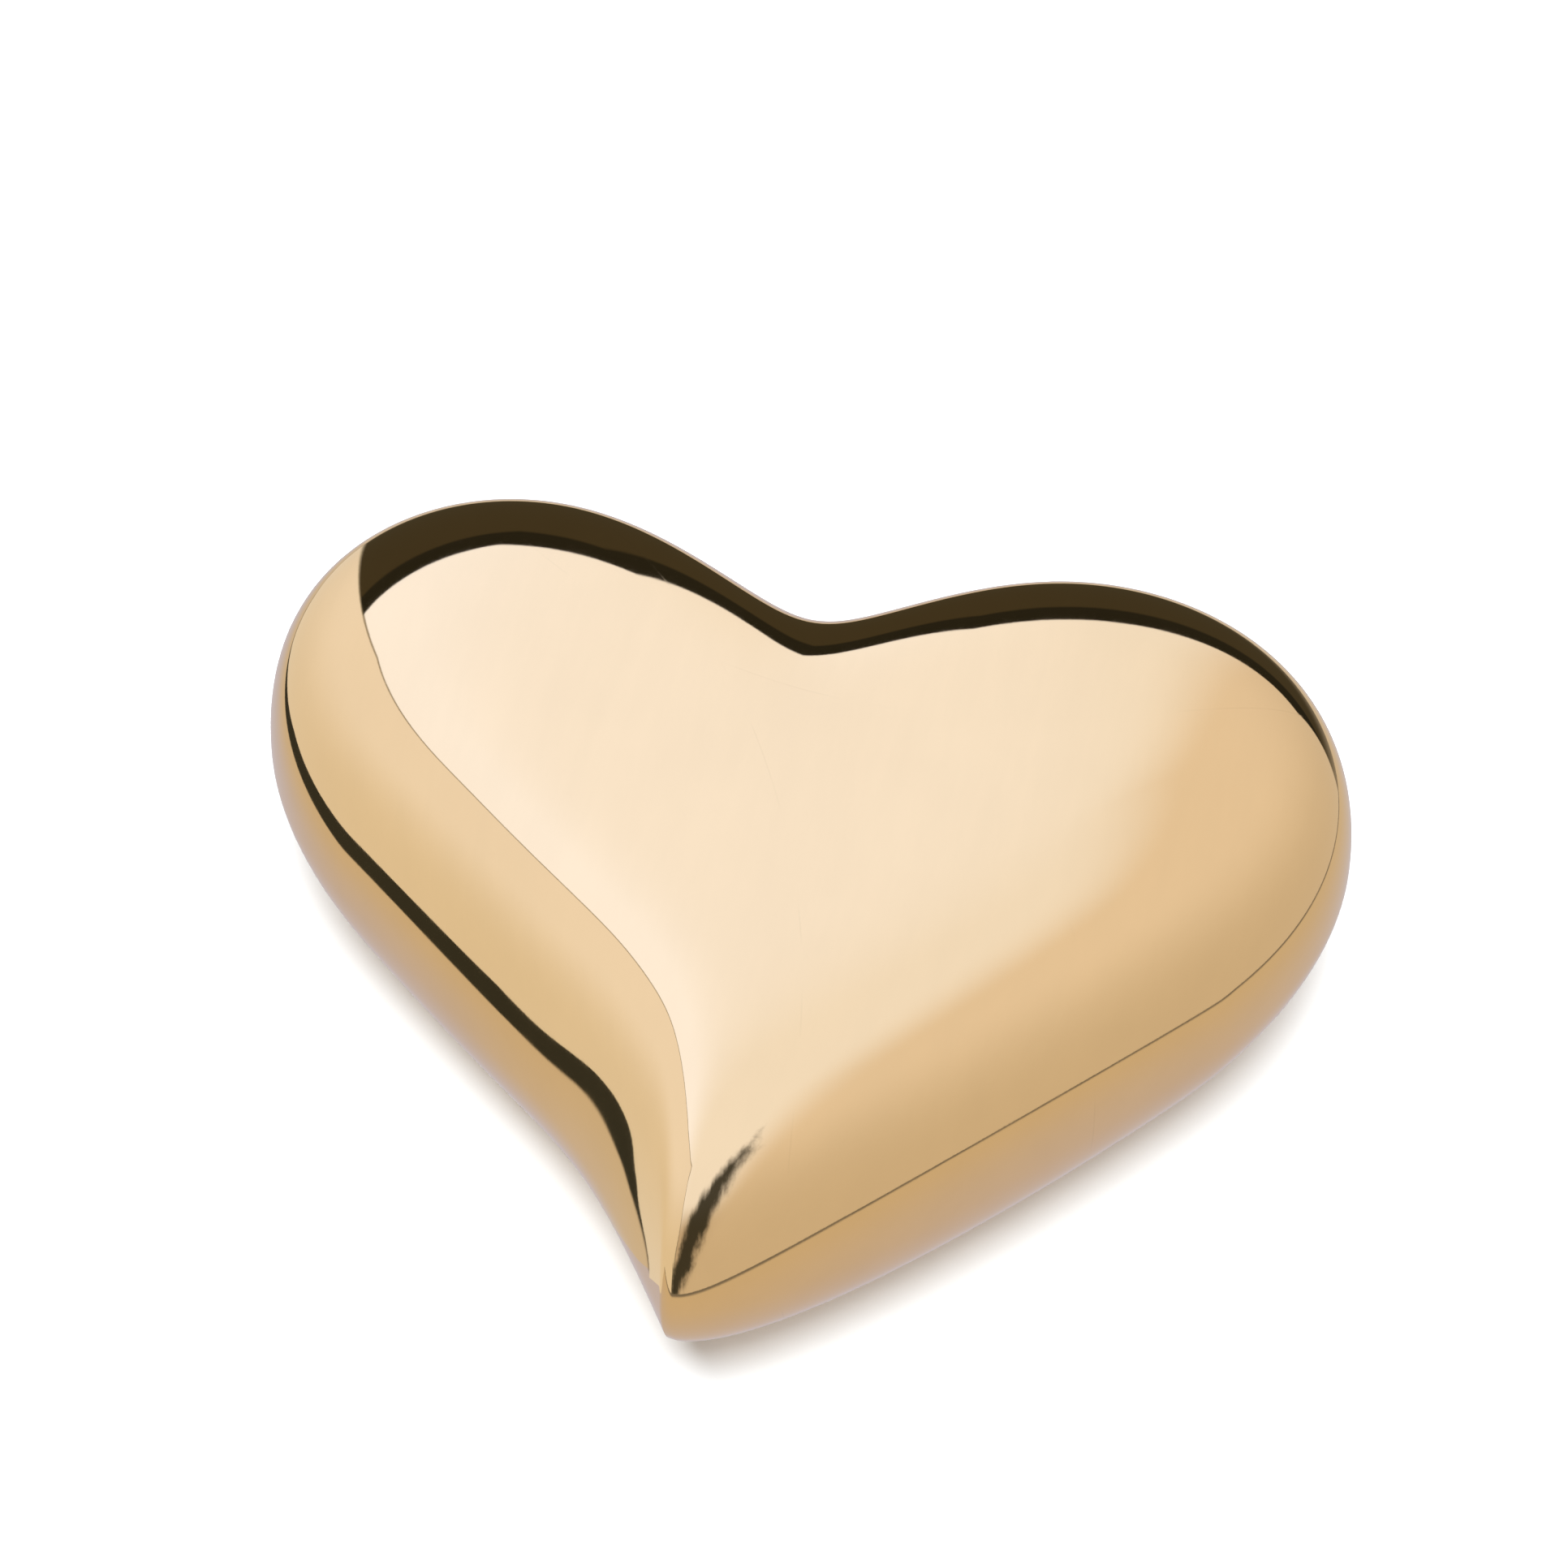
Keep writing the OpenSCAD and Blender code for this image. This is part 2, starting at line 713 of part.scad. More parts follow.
module cylinder_pins() {
    color(steel) at_arbor() for (note = [0 : notes - 1], i = [0 : pins_per_note - 1])
        translate([first_note_x + note * note_pitch, 0, axis_z])
            rotate([pin_angle(note, i), 0, 0])
                translate([0, 0, drum_r - drum_wall / 2])
                    cylinder(h = drum_wall / 2 + pin_out, r = pin_r, $fn = pin_sides);
}

module cylinder_arbor() {
    left = pinion_x - 1;
    color(steel) at_arbor() rod(drum_arbor_r, left, great_x + great_t + pivot_out - left, 0, axis_z);
}

module crown_pinion() {
    color(brass) at_arbor() along_x(pinion_x, 0, axis_z) linear_extrude(crown_face) difference() {
        wheel_2d(pinion_teeth, pinion_r, crown_up, crown_down, 0.36, -90);
        circle(r = drum_arbor_r);
    }
}

// Lightening holes of the great wheel, as shares of its radius
window_at = 0.52;
window_share = 0.2;

module great_wheel() {
    color(brass) at_arbor() along_x(great_x, 0, axis_z) linear_extrude(great_t) difference() {
        wheel_2d(great_teeth, great_r, 0.42, 0.58, 0.36, -leaf_angle + 180 / great_teeth);
        circle(r = drum_arbor_r);
        for (a = [0 : 90 : 270])
            rotate(a) translate([great_r * window_at, 0]) circle(r = great_r * window_share);
    }
}

// ---- comb ----
comb_seat_over = 0.1;
// Depth of the tapped holes in the comb's base, and of the screws in them
tap_depth = 5;
tap_grip = 4;

module comb_base() {
    color(pale_brass) at_arbor() difference() {
        translate([drum_x - comb_seat_over, comb_back, bed_top])
            cube([
                drum_len + 2 * comb_seat_over,
                comb_seat_front - comb_back,
                comb_top - comb_t - bed_top
            ]);
        for (x = screw_xs, z = [bed_top - over, comb_top - comb_t - tap_depth])
            translate([x, comb_screw_y, z])
                cylinder(h = tap_depth + over, r = small_screw[0] + thread_play);
    }
}

module comb_base_screws() {
    color(steel) at_arbor() for (x = screw_xs)
        translate([x, comb_screw_y, bed_z]) screw(small_screw, bed_t + tap_grip);
}

// The bass teeth at the left are longer than the treble teeth at the right
bass_root_y = -15.4;
treble_shift = 3;
function root_y(note) = bass_root_y + treble_shift * note / (notes - 1);

module comb() {
    color(steel) at_arbor() difference() {
        translate([first_note_x - note_pitch / 2, comb_back, comb_top - comb_t])
            cube([notes * note_pitch, tip_y - comb_back, comb_t]);
        for (note = [1 : notes - 1])
            translate([
                first_note_x + (note - 0.5) * note_pitch - comb_slot_w / 2,
                root_y(note),
                comb_top - comb_t - 1
            ])
                cube([comb_slot_w, tip_y - root_y(note) + 1, comb_t + 2]);
        for (x = screw_xs) translate([x, comb_screw_y, comb_top - comb_t - 1])
            cylinder(h = comb_t + 2, r = small_screw[0] + hole_play);
    }
}

weighted_notes = 8;
weight_depth = 1.6;
weight_step = 0.12;
weight_setback = 0.5;
// Length of a weight along its tooth, as a multiple of its depth
weight_run = 1.4;

module tuning_weights() {
    weight_w = note_pitch - comb_slot_w;
    color(lead_grey) at_arbor() for (note = [0 : weighted_notes - 1]) {
        depth = weight_depth - weight_step * note;
        left = first_note_x + note * note_pitch - weight_w / 2;
        translate([left, tip_y - weight_setback - depth * weight_run, comb_top - comb_t - depth])
            cube([weight_w, depth * weight_run, depth]);
    }
}

module comb_screws() {
    color(steel) at_arbor() for (x = screw_xs)
        translate([x, comb_screw_y, comb_top]) screw_down(small_screw, comb_t + tap_grip);
}

// ---- governor ----
// Half width of the frame round the worm's and the governor arbor's bearings
arm_half = 3;
worm_pivot_play = 0.04;

module governor_frame() {
    width = side_plate_x + frame_t - frame_x;
    depth = frame_back - frame_front;
    color(steel) at_arbor() difference() {
        union() {
            translate([frame_x, frame_back - frame_t, bed_top]) cube([width, frame_t, frame_top - bed_top]);
            translate([frame_x, frame_front, bed_top]) cube([width, depth, frame_t]);
            translate([worm_x - arm_half, frame_front, frame_top - frame_t])
                cube([2 * arm_half, depth, frame_t]);
            translate([side_plate_x, leaf_y - arm_half, bed_top])
                cube([frame_t, frame_back - leaf_y + arm_half, leaf_z + arm_half - bed_top]);
        }
        translate([worm_x, worm_y, bed_top - 1])
            cylinder(h = frame_top, r = worm_pivot_r + worm_pivot_play);
        rod(leaf_arbor_r + play, side_plate_x - 1, frame_t + 2, leaf_y, leaf_z);
        for (y = frame_screw_ys)
            translate([frame_screw_x, y, bed_top - 1])
                cylinder(h = frame_t + 2, r = small_screw[0] + hole_play);
    }
}

module governor_screws() {
    color(steel) at_arbor() for (y = frame_screw_ys)
        translate([frame_screw_x, y, bed_top + frame_t])
            screw_down(small_screw, frame_t + bed_t - tip_short);
}

module governor_arbor() {
    left = right_plate_x + end_play;
    right = side_plate_x + frame_t - end_play;
    color(steel) at_arbor() rod(leaf_arbor_r, left, right - left, leaf_y, leaf_z);
}

module governor_pinion() {
    color(brass) at_arbor() along_x(leaf_x, leaf_y, leaf_z) linear_extrude(leaf_len) difference() {
        wheel_2d(leaf_teeth, leaf_r, 0.36, 0.54, 0.34, 180 - leaf_angle);
        circle(r = leaf_arbor_r);
    }
}

module worm_wheel() {
    color(brass) at_arbor() along_x(wheel_x, leaf_y, leaf_z) linear_extrude(wheel_t) difference() {
        wheel_2d(worm_teeth, wheel_r, 0.45, 0.6, 0.3, 180 / worm_teeth);
        circle(r = leaf_arbor_r);
    }
}

worm_tip_r = 2.2;
worm_root_r = 1.25;
worm_turns = 3;
worm_slices = 16;
// Half angles of the thread's crest and of its foot in the worm's cross-section
crest_angle = 26;
flank_angle = 64;
// Radius of the worm's cross-section at angle a from the middle of its thread
function worm_profile(a) =
    let(d = abs(a > 180 ? a - 360 : a))
    lookup(d, [[0, worm_tip_r], [crest_angle, worm_tip_r], [flank_angle, worm_root_r], [180, worm_root_r]]);

module worm() {
    length = worm_turns * worm_lead;
    half_section = [crest_angle, (crest_angle + flank_angle) / 2, flank_angle, 90, 116, 148];
    section_angles = concat([0], half_section, [180], [for (i = [5 : -1 : 0]) 360 - half_section[i]]);
    foot = bed_top + end_play;
    shoulder = bed_top + frame_t + side_play;
    head = frame_top - frame_t - side_play;
    color(steel) at_arbor() translate([worm_x, worm_y, 0]) {
        translate([0, 0, leaf_z - length / 2])
            linear_extrude(
                height = length,
                twist = -360 * worm_turns,
                slices = worm_slices * worm_turns,
                segments = len(section_angles)
            )
                rotate(-90 - 180 * worm_turns)
                    polygon([for (a = section_angles) worm_profile(a) * heading(a)]);
        translate([0, 0, foot]) cylinder(h = frame_top - end_play - foot, r = worm_pivot_r);
        translate([0, 0, shoulder]) cylinder(h = head - shoulder, r = worm_arbor_r);
    }
}

module air_fan() {
    color(pale_brass) at_arbor() translate([worm_x, worm_y, fan_z]) difference() {
        union() {
            cylinder(h = fan_h, r = fan_hub_r);
            translate([-fan_r, -fan_t / 2, 0]) cube([2 * fan_r, fan_t, fan_h]);
        }
        translate([0, 0, -1]) cylinder(h = fan_h + 2, r = worm_arbor_r);
    }
}

case_shell();
closure_ring();
base_plate();
key_cup();
closing_screws();
feet();
standoffs();
mounting_screws();
bedplate();
arbor_bush();
clutch_spring();
winding_key();
winding_arbor();
barrel_drum();
crown_wheel();
mainspring();
barrel_bridge();
bridge_screws();
cylinder_bracket();
bracket_screws();
music_cylinder();
cylinder_pins();
cylinder_caps();
cylinder_arbor();
crown_pinion();
great_wheel();
comb_base();
comb_base_screws();
comb();
tuning_weights();
comb_screws();
governor_frame();
governor_screws();
governor_arbor();
governor_pinion();
worm_wheel();
worm();
air_fan();
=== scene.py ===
# A wind-up music box in a polished brass heart: looks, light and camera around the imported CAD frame.
from math import cos, exp, pi, radians, sin, sqrt

import bpy
from mathutils import Matrix, Vector


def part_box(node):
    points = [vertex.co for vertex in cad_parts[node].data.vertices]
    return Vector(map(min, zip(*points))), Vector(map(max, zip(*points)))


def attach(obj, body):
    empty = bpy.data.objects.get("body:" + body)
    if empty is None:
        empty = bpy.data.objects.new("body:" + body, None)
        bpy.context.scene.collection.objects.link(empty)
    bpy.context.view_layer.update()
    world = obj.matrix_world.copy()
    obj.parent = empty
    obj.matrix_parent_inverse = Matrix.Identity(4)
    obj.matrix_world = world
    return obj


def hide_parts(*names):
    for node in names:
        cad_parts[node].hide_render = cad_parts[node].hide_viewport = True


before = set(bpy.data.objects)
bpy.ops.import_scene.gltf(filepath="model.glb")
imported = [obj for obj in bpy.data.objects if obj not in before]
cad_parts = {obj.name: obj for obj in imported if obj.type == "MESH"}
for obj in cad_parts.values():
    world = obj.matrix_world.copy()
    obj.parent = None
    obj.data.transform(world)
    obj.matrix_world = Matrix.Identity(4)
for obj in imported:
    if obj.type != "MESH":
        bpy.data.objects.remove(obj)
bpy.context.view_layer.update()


# ---------------------------------------------------------------- node helpers
class Nodes:
    """A short way to write a node tree: a call adds one node or two and returns an output socket."""

    def __init__(self, tree):
        self.tree = tree
        tree.nodes.clear()

    def add(self, kind, **settings):
        node = self.tree.nodes.new(kind)
        for name, value in settings.items():
            setattr(node, name, value)
        return node

    def plug(self, socket, value):
        """Link the socket to value if that is a socket too, else set it."""
        if isinstance(value, bpy.types.NodeSocket):
            self.tree.links.new(value, socket)
        else:
            socket.default_value = value

    def math(self, operation, a, b=0.0, clamp=False):
        node = self.add("ShaderNodeMath", operation=operation, use_clamp=clamp)
        self.plug(node.inputs[0], a)
        self.plug(node.inputs[1], b)
        return node.outputs[0]

    def measure(self, operation, a, b):
        """The dot product or the distance of two vectors."""
        node = self.add("ShaderNodeVectorMath", operation=operation)
        self.plug(node.inputs[0], a)
        self.plug(node.inputs[1], b)
        return node.outputs[1]

    def axes(self, vector):
        node = self.add("ShaderNodeSeparateXYZ")
        self.plug(node.inputs[0], vector)
        return node.outputs

    def step(self, value, low, high, to_low=0.0, to_high=1.0):
        """Smooth step from to_low to to_high as value goes from low to high."""
        node = self.add("ShaderNodeMapRange", interpolation_type="SMOOTHSTEP")
        for i, v in enumerate((value, low, high, to_low, to_high)):
            self.plug(node.inputs[i], v)
        return node.outputs[0]

    def mix(self, factor, a, b):
        """Colour a where factor is 0, colour b where it is 1."""
        node = self.add("ShaderNodeMix", data_type="RGBA")
        self.plug(node.inputs[0], factor)
        self.plug(node.inputs[6], rgba(a))
        self.plug(node.inputs[7], rgba(b))
        return node.outputs[2]

    def noise(self, scale, detail=3.0, rough=0.5, stretch=(1, 1, 1), seed=0.0, where="Object"):
        """Noise in the space named by where; in object space scale is in features per metre."""
        place = self.add("ShaderNodeMapping")
        self.plug(place.inputs["Vector"], self.add("ShaderNodeTexCoord").outputs[where])
        place.inputs["Location"].default_value = (seed, 2 * seed, 3 * seed)
        place.inputs["Scale"].default_value = stretch
        node = self.add("ShaderNodeTexNoise")
        self.plug(node.inputs["Vector"], place.outputs[0])
        node.inputs["Scale"].default_value = scale
        node.inputs["Detail"].default_value = detail
        node.inputs["Roughness"].default_value = rough
        return node.outputs[0]

    def bump(self, height, strength, distance):
        node = self.add("ShaderNodeBump")
        node.inputs["Strength"].default_value = strength
        node.inputs["Distance"].default_value = distance
        self.plug(node.inputs["Height"], height)
        return node


def rgba(c):
    return c if isinstance(c, bpy.types.NodeSocket) or len(c) == 4 else (*c, 1.0)


def scaled(colour, k):
    return tuple(k * v for v in colour)


def new_material(name, kind):
    """A material with one shader of this kind: returns the material, its nodes and the shader."""
    material = bpy.data.materials.new(name)
    material.use_nodes = True
    t = Nodes(material.node_tree)
    shader = t.add(kind)
    t.plug(t.add("ShaderNodeOutputMaterial").inputs[0], shader.outputs[0])
    return material, t, shader


# ---------------------------------------------------------------- the heart's surface
# The case is one soft pillow, as in the CAD source: the outline shrinks towards the crown ring by
# ring and softens as it goes. Knots: [x, y, heading in, heading out, reach in, reach out]
KNOTS = [
    [0.0, -53.0, 302.0, -1.0, 34.5, 14.5],
    [55.5, -2.5, 55.5, 55.5, 6.0, 39.0],
    [33.5, 53.0, 186.0, 186.0, 24.5, 15.0],
    [0.0, 38.0, 182.5, 182.5, 6.5, 7.0],
    [-35.5, 52.5, 173.0, 173.0, 15.5, 26.0],
    [-49.5, -2.0, 318.0, 318.0, 39.5, 41.5],
]
DESIGN_W = 130.0            # width at which the measures below are drawn, mm
CROWN = Vector((0.7, -6.6))
BELLY_Z = 17.7              # height of the widest line
CASE_H = 45.5
LIP_Z = 0.8
BASE_TOP = 2.4              # top of the base plate, where the inner skin begins
WALL = 1.4
CROWN_POWER = 6.4           # how square the dome is above the widest line
BELLY_POWER = 2.15          # and below it
STAND_SHARE = 0.75          # size of the mouth, as a share of the widest line
CROWN_SHARE = 0.01          # size of the last ring before the crown
SOFTEN = 3.3 / 72           # spread of the softening at the crown, as a share of the outline
LEAST_SPREAD = 0.05         # softening by less than this many points is left out
AROUND = 360                # points round each ring
UP_RINGS = 84
DOWN_RINGS = 26
LIP_RINGS = 5               # between the two skins, across the flat lip


def heading(a):
    return Vector((cos(radians(a)), sin(radians(a))))


def outline(count, fine=160):
    """The heart's widest line as evenly spaced points, anticlockwise from the tip."""
    points = []
    for i, knot in enumerate(KNOTS):
        after = KNOTS[(i + 1) % len(KNOTS)]
        p0, p3 = Vector(knot[:2]), Vector(after[:2])
        p1 = p0 + knot[5] * heading(knot[3])
        p2 = p3 - after[4] * heading(after[2])
        for j in range(fine):
            t = j / fine
            points.append((1 - t) ** 3 * p0 + 3 * (1 - t) ** 2 * t * p1
                          + 3 * (1 - t) * t * t * p2 + t ** 3 * p3)
    run = [0.0]
    for i, p in enumerate(points):
        run.append(run[-1] + (points[(i + 1) % len(points)] - p).length)
    even, k = [], 0
    for j in range(count):
        u = run[-1] * j / count
        while run[k + 1] < u:
            k += 1
        t = (u - run[k]) / (run[k + 1] - run[k])
        even.append(points[k].lerp(points[(k + 1) % len(points)], t))
    low = Vector((min(p.x for p in even), min(p.y for p in even)))
    high = Vector((max(p.x for p in even), max(p.y for p in even)))
    return [(p - (low + high) / 2) * DESIGN_W / (high.x - low.x) for p in even]


def inset(points, d):
    """The closed outline moved inwards by d, square to its edges."""
    n, moved = len(points), []
    for i, p in enumerate(points):
        a = (p - points[i - 1]).normalized()
        b = (points[(i + 1) % n] - p).normalized()
        n0, n1 = Vector((-a.y, a.x)), Vector((-b.y, b.x))
        m = (n0 + n1).normalized()
        moved.append(p + m * d / m.dot(n1))
    return moved


def soften(points, spread):
    """Bell-shaped moving average; spread is in points."""
    if spread < LEAST_SPREAD:
        return list(points)
    reach = int(3 * spread) + 1
    weights = [exp(-0.5 * (j / spread) ** 2) for j in range(-reach, reach + 1)]
    total, n = sum(weights), len(points)
    result = []
    for i in range(n):
        p = Vector((0, 0))
        for j, w in zip(range(-reach, reach + 1), weights):
            p += points[(i + j) % n] * (w / total)
        result.append(p)
    return result


def shrunk(points, share):
    """One ring: the outline at this share of its size, softened the more the smaller it is."""
    return [CROWN + share * (p - CROWN) for p in soften(points, SOFTEN * len(points) * (1 - share))]


def upper_z(share, rise):
    return BELLY_Z + rise * sqrt(max(0.0, 1 - share ** CROWN_POWER))


def lower_z(share, drop):
    return BELLY_Z - drop * sqrt((1 - share ** BELLY_POWER) / (1 - STAND_SHARE ** BELLY_POWER))


def skin(points, rise, drop):
    """Rings of one skin from its lower edge to near its crown."""
    rings = []
    for i in range(DOWN_RINGS):
        share = 1 - (1 - STAND_SHARE) * (1 - i / DOWN_RINGS) ** 2
        rings.append((shrunk(points, share), lower_z(share, drop)))
    for i in range(UP_RINGS):
        share = 1 - (1 - CROWN_SHARE) * (i / (UP_RINGS - 1)) ** 2
        rings.append((shrunk(points, share), upper_z(share, rise)))
    return rings


def mesh_object(name, vertices, faces, smooth=True):
    mesh = bpy.data.meshes.new(name)
    mesh.from_pydata([tuple(v) for v in vertices], [], faces)
    mesh.validate()
    mesh.polygons.foreach_set("use_smooth", [smooth] * len(mesh.polygons))
    mesh.update()
    result = bpy.data.objects.new(name, mesh)
    bpy.context.scene.collection.objects.link(result)
    return result


def heart_shell():
    """The pressed brass shell at full resolution: outer skin, flat lip and inner skin, closed."""
    low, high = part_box("case_shell")
    fit = (high.x - low.x) / DESIGN_W
    middle = (low.x + high.x) / 2, (low.y + high.y) / 2
    belly = outline(AROUND)
    outer = skin(belly, CASE_H - BELLY_Z, BELLY_Z - LIP_Z)
    inner = skin(inset(belly, WALL), CASE_H - BELLY_Z - WALL, BELLY_Z - BASE_TOP)
    mouth = shrunk(belly, STAND_SHARE)
    lip = []
    for i in range(1, LIP_RINGS + 1):
        across = WALL / 2 * (1 - cos(pi * i / (LIP_RINGS + 1)))
        lip.append((inset(mouth, across), LIP_Z))
    edge = inset(mouth, WALL)
    rings = outer[::-1] + lip + [(edge, LIP_Z), (edge, BASE_TOP)] + inner[1:]
    vertices = [(CROWN.x, CROWN.y, CASE_H)]
    for points, z in rings:
        vertices += [(p.x, p.y, z) for p in points]
    vertices.append((CROWN.x, CROWN.y, CASE_H - WALL))
    n, m, last = AROUND, len(rings), len(vertices) - 1

    def at(r, i):
        return 1 + r * n + i % n

    faces = [(at(0, i), at(0, i + 1), 0) for i in range(n)]
    for r in range(m - 1):
        faces += [(at(r, i), at(r + 1, i), at(r + 1, i + 1), at(r, i + 1)) for i in range(n)]
    faces += [(at(m - 1, i), last, at(m - 1, i + 1)) for i in range(n)]
    placed = [(middle[0] + x * fit, middle[1] + y * fit, low.z + (z - LIP_Z) * fit)
              for x, y, z in vertices]
    return mesh_object("heart_shell", placed, faces)


shell = heart_shell()
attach(shell, "case")
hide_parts("case_shell")


# ---------------------------------------------------------------- materials
CASE_BRASS = (0.88, 0.65, 0.39)
CASE_TINT = (0.975, 1.012)      # how much darker and lighter its clouds are
CASE_ROUGH = (0.028, 0.05)      # from a clear mirror to a hazy one
WAVE_DEPTH = 0.000012           # unevenness left by hand buffing; depths are in metres
GRAIN_DEPTH = 0.00001
GRAIN_STRENGTH = 0.04
SPECKS_PER_METRE = 75.0         # cells, few of which have a speck
SPECK_R = (0.03, 0.018)         # where its edge begins and ends, in cells
SPECK_PICK = (0.72, 0.74)       # cells whose random number is above this have one
SPECK_BROWN = (0.25, 0.17, 0.08)
HAIRLINES = [(0.012, 0.085, 0.0700), (-0.110, -0.050, 0.1220), (0.160, 0.060, 0.1420)]
HAIR_EDGE = (0.00014, 0.00003)  # where its edge begins and ends, m from its middle
METAL_GRAIN_DEPTH = 0.00005
RUBBER_GRAIN_DEPTH = 0.00004


def dress(material, *nodes):
    for name in nodes:
        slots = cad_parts[name].data.materials
        slots.clear()
        slots.append(material)


def polished_case_brass():
    """Mirror polish with the haze, faint streaks, specks and hairlines of a handled brass case."""
    material, t, shader = new_material("polished_case_brass", "ShaderNodeBsdfPrincipled")
    shader.inputs["Metallic"].default_value = 1.0
    clouds = t.noise(scale=42.0, rough=0.55)
    streaks = t.noise(scale=260.0, detail=4.0, rough=0.65, stretch=(1.0, 0.16, 0.6), seed=2.0)
    grain = t.noise(scale=2600.0, detail=2.0, seed=5.0)
    tone = t.math("ADD", t.math("MULTIPLY", clouds, 0.6), t.math("MULTIPLY", streaks, 0.4))
    dark, light = [scaled(CASE_BRASS, k) for k in CASE_TINT]
    base = t.mix(t.step(tone, 0.3, 0.7), dark, light)
    # specks: a few tiny dark dots
    where = t.add("ShaderNodeTexCoord").outputs["Object"]
    cells = t.add("ShaderNodeTexVoronoi")
    t.plug(cells.inputs["Vector"], where)
    cells.inputs["Scale"].default_value = SPECKS_PER_METRE
    picked = t.step(t.axes(cells.outputs["Color"])[0], *SPECK_PICK)
    speck = t.math("MULTIPLY", t.step(cells.outputs["Distance"], *SPECK_R), picked)
    # hairlines: thin broken arcs left by a cloth, [centre x, centre y, radius] in metres
    x_here, y_here, _ = t.axes(where)
    flat = t.add("ShaderNodeCombineXYZ")
    t.plug(flat.inputs[0], x_here)
    t.plug(flat.inputs[1], y_here)
    patchy = t.step(t.noise(scale=55.0, detail=2.0, seed=8.0), 0.52, 0.62)
    hair = 0.0
    for x, y, r in HAIRLINES:
        off = t.math("SUBTRACT", t.measure("DISTANCE", flat.outputs[0], (x, y, 0)), r)
        hair = t.math("MAXIMUM", hair, t.step(t.math("ABSOLUTE", off), *HAIR_EDGE))
    hair = t.math("MULTIPLY", hair, patchy)
    worn = t.mix(t.math("MULTIPLY", hair, 0.12), base, scaled(CASE_BRASS, 0.7))
    t.plug(shader.inputs["Base Color"], t.mix(t.math("MULTIPLY", speck, 0.5), worn, SPECK_BROWN))
    haze = t.step(streaks, 0.3, 0.75, *CASE_ROUGH)
    t.plug(shader.inputs["Roughness"], t.math("ADD", haze, t.math("MULTIPLY", hair, 0.05)))
    waves = t.bump(clouds, 1.0, WAVE_DEPTH)
    fine = t.bump(grain, GRAIN_STRENGTH, GRAIN_DEPTH)
    t.plug(fine.inputs["Normal"], waves.outputs[0])
    t.plug(shader.inputs["Normal"], fine.outputs[0])
    return material


def metal(name, colour, rough, spread, tint, grain, stretch, bump):
    """A metal whose colour and polish vary a little over its surface."""
    material, t, shader = new_material(name, "ShaderNodeBsdfPrincipled")
    shader.inputs["Metallic"].default_value = 1.0
    broad = t.noise(scale=60.0, detail=2.0)
    fine = t.noise(scale=grain, detail=4.0, rough=0.6, stretch=stretch, seed=3.0)
    both = t.math("ADD", t.math("MULTIPLY", broad, 0.5), t.math("MULTIPLY", fine, 0.5))
    shade = t.mix(both, scaled(colour, 1 - tint), scaled(colour, 1 + tint))
    t.plug(shader.inputs["Base Color"], shade)
    t.plug(shader.inputs["Roughness"], t.step(fine, 0.25, 0.75, rough - spread, rough + spread))
    t.plug(shader.inputs["Normal"], t.bump(fine, bump, METAL_GRAIN_DEPTH).outputs[0])
    return material


def rubber(name, colour):
    """Matt rubber: pale dust in patches, fine grain."""
    material, t, shader = new_material(name, "ShaderNodeBsdfPrincipled")
    dust = t.noise(scale=220.0, detail=4.0, rough=0.6)
    grain = t.noise(scale=4000.0, detail=2.0, seed=2.0)
    t.plug(shader.inputs["Base Color"], t.mix(t.step(dust, 0.45, 0.8), colour, scaled(colour, 2.2)))
    t.plug(shader.inputs["Roughness"], t.step(dust, 0.2, 0.8, 0.7, 0.95))
    t.plug(shader.inputs["Normal"], t.bump(grain, 0.5, RUBBER_GRAIN_DEPTH).outputs[0])
    return material


# Stretch of the grain: small along the way the metal was brushed, turned or rolled
ALONG_X, ALONG_Y, ALONG_Z = (0.05, 1, 1), (1, 0.05, 1), (1, 1, 0.05)
ROUND_X, NO_WAY = (1, 0.08, 0.08), (1, 1, 1)

